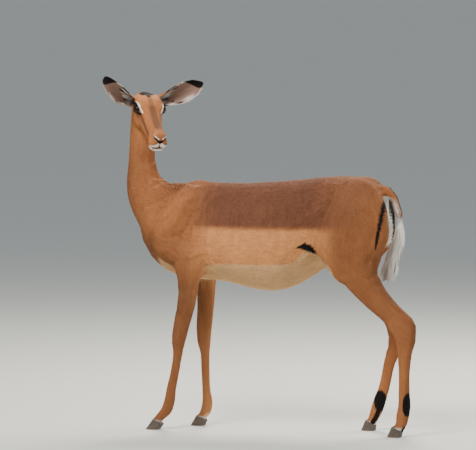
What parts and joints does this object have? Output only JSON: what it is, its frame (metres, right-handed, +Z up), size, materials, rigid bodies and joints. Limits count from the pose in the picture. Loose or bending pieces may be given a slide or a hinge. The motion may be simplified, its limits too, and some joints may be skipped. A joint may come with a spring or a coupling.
{
  "type": "impala antelope",
  "caption": "Adult female impala standing on level ground with her head turned to her left, as a still life-size model.",
  "frame": {"origin": "middle of the bounding box's bottom face, on the floor that the hooves stand on", "axes": "+Z up; the animal faces -X, with its left side towards -Y and its right side towards +Y"},
  "size_m": [1.0094, 0.311, 1.1491],
  "materials": {
    "coat": "short red-brown fur that lies flat",
    "white_hair": "long loose white hair",
    "ear": "short fur, thin inside the ear",
    "horn": "dull dark horn",
    "eye": "wet gloss"
  },
  "bodies": {
    "root": {"cannon_fore_left": "coat", "cannon_fore_right": "coat", "cannon_hind_left": "coat", "cannon_hind_right": "coat", "ear_left": "ear", "ear_right": "ear", "eye_left": "eye", "eye_right": "eye", "forearm_fore_left": "coat", "forearm_fore_right": "coat", "gaskin_hind_left": "coat", "gaskin_hind_right": "coat", "head": "coat", "hoof_fore_left_inner": "horn", "hoof_fore_left_outer": "horn", "hoof_fore_right_inner": "horn", "hoof_fore_right_outer": "horn", "hoof_hind_left_inner": "horn", "hoof_hind_left_outer": "horn", "hoof_hind_right_inner": "horn", "hoof_hind_right_outer": "horn", "neck": "coat", "pastern_fore_left": "coat", "pastern_fore_right": "coat", "pastern_hind_left": "coat", "pastern_hind_right": "coat", "tail": "coat", "tail_brush": "white_hair", "trunk": "coat"}
  },
  "joints": []
}
